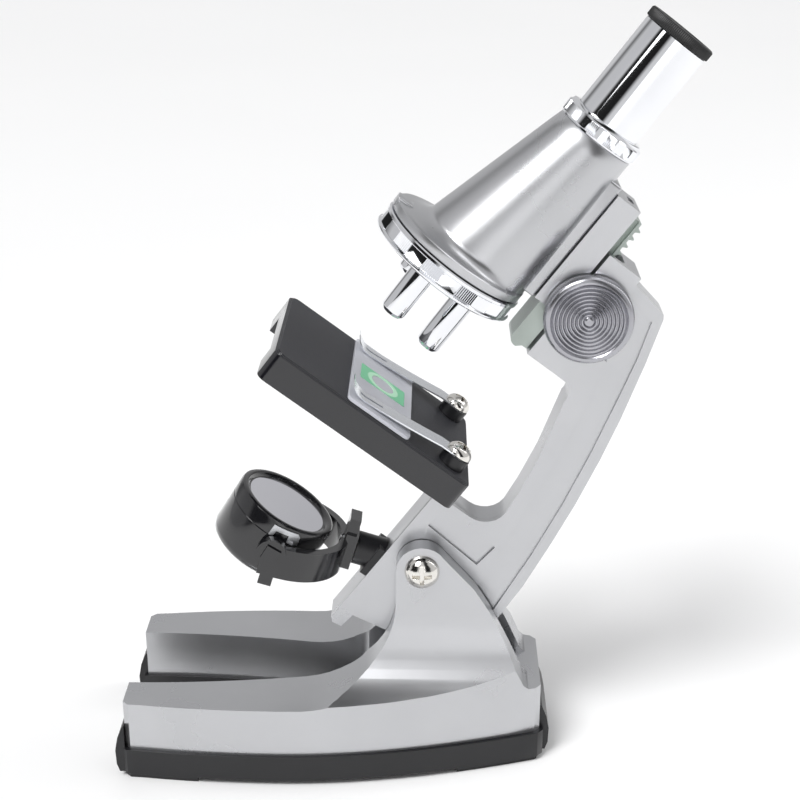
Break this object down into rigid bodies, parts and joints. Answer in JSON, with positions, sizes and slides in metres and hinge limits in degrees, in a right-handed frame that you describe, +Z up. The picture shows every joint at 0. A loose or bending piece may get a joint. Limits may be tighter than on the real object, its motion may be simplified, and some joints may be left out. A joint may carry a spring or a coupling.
{
  "type": "tilting student microscope",
  "caption": "Tilting compound microscope: horseshoe base, curved arm, rack focus, turning turret, stage with clips and a slide, and a swivelling mirror-and-lamp drum.",
  "frame": {"origin": "on the table that the feet stand on, straight below the tilt axis, in the middle of the width", "axes": "+X to the rear, +Y to the far side along the tilt axis, +Z up; the rest pose has the arm leaning 37 degrees to the rear"},
  "size_m": [0.1999, 0.0736, 0.2674],
  "materials": {
    "casting": "satin silver paint",
    "plinth": "fine matt black",
    "stage_black": "fine textured black",
    "lamp_black": "gloss black",
    "cap_black": "satin black, finely knurled",
    "chrome": "bright chrome",
    "screw_steel": "bright nickel",
    "zinc_steel": "plain zinc",
    "spring_steel": "bright spring steel",
    "knob": "metallic dark silver",
    "rack_plastic": "pale grey-green, slightly clear",
    "washer_plastic": "plain white",
    "slide_glass": "clear with a matt lilac tint",
    "lens_glass": "polished clear",
    "lamp_frost": "frosted white",
    "label": "printed green film",
    "mirror": "silvered",
    "cell_wrap": "plain blue wrap"
  },
  "bodies": {
    "base": {"base_casting": "casting", "base_plinth": "plinth", "battery_cover": "plinth", "battery_cover_screw": "zinc_steel", "aa_cells": "cell_wrap", "battery_contacts": "zinc_steel", "base_screws": "zinc_steel", "pivot_screw": "screw_steel", "pivot_nut": "screw_steel", "hinge_washers": "washer_plastic"},
    "arm": {"arm_far_shell": "casting", "arm_near_shell": "casting", "arm_screws": "zinc_steel", "pinion_bushes": "plinth", "stage": "stage_black", "stage_screws": "zinc_steel", "clip_spacers": "plinth", "near_clip_screw": "screw_steel", "far_clip_screw": "screw_steel", "lamp_bracket": "plinth", "yoke_screw": "zinc_steel"},
    "near_clip": {"near_clip": "spring_steel"},
    "far_clip": {"far_clip": "spring_steel"},
    "slide": {"specimen_slide": "slide_glass", "specimen_label": "label"},
    "carriage": {"optical_body": "casting", "slide_block": "casting", "slide_screws": "zinc_steel", "focus_rack": "rack_plastic", "tube_collar": "chrome", "turret_detent": "zinc_steel", "turret_screw": "screw_steel"},
    "focus_shaft": {"pinion_shaft": "zinc_steel", "near_knob": "knob", "far_knob": "knob"},
    "turret": {"turret_disc": "chrome", "long_objective": "chrome", "medium_objective": "chrome", "short_objective": "chrome", "objective_lenses": "lens_glass"},
    "draw_tube": {"draw_tube": "chrome", "eyepiece_cap": "cap_black", "eye_lens": "lens_glass", "field_lens": "lens_glass"},
    "yoke": {"lamp_yoke": "lamp_black"},
    "drum": {"mirror_housing": "lamp_black", "lamp_housing": "lamp_black", "mirror_glass": "mirror", "lamp_lens": "lamp_frost", "lamp_holder": "washer_plastic", "lamp_bulb": "lens_glass", "lamp_contacts": "zinc_steel", "drum_studs": "lamp_black"}
  },
  "joints": [
    {"name": "arm_tilt", "type": "hinge", "parent": "base", "child": "arm", "pos_m": [0, 0, 0.074], "axis": [0, 1, 0], "range_deg": [-37, 8]},
    {"name": "near_clip_turn", "type": "hinge", "parent": "arm", "child": "near_clip", "pos_m": [0.01189, -0.0216, 0.12301], "axis": [0.6018, 0, 0.7986], "range_deg": [0, 40]},
    {"name": "far_clip_turn", "type": "hinge", "parent": "arm", "child": "far_clip", "pos_m": [0.01189, 0.0216, 0.12301], "axis": [0.6018, 0, 0.7986], "range_deg": [-40, 0]},
    {"name": "slide_shift", "type": "slide", "parent": "arm", "child": "slide", "axis": [0, 1, 0], "range_m": [-0.01, 0.01]},
    {"name": "focus_slide", "type": "slide", "parent": "arm", "child": "carriage", "axis": [0.6018, 0, 0.7986], "range_m": [-0.0195, 0.015]},
    {"name": "focus_turn", "type": "hinge", "parent": "arm", "child": "focus_shaft", "pos_m": [0.05427, 0, 0.16796], "axis": [0, 1, 0], "range_deg": [-290, 290]},
    {"name": "turret_turn", "type": "hinge", "parent": "carriage", "child": "turret", "pos_m": [0.00777, 0, 0.18334], "axis": [0.6018, 0, 0.7986], "continuous": true},
    {"name": "tube_draw", "type": "slide", "parent": "carriage", "child": "draw_tube", "axis": [0.6018, 0, 0.7986], "range_m": [-0.03, 0.008]},
    {"name": "yoke_swing", "type": "hinge", "parent": "arm", "child": "yoke", "pos_m": [-0.05195, 0, 0.08548], "axis": [0.9542, 0, -0.299], "range_deg": [-25, 25]},
    {"name": "drum_flip", "type": "hinge", "parent": "yoke", "child": "drum", "pos_m": [-0.05195, 0, 0.08548], "axis": [0, 1, 0], "range_deg": [-180, 180]}
  ],
  "couplings": [
    {"joint": "focus_turn", "follows": "focus_slide", "rad_per_m": 250}
  ]
}
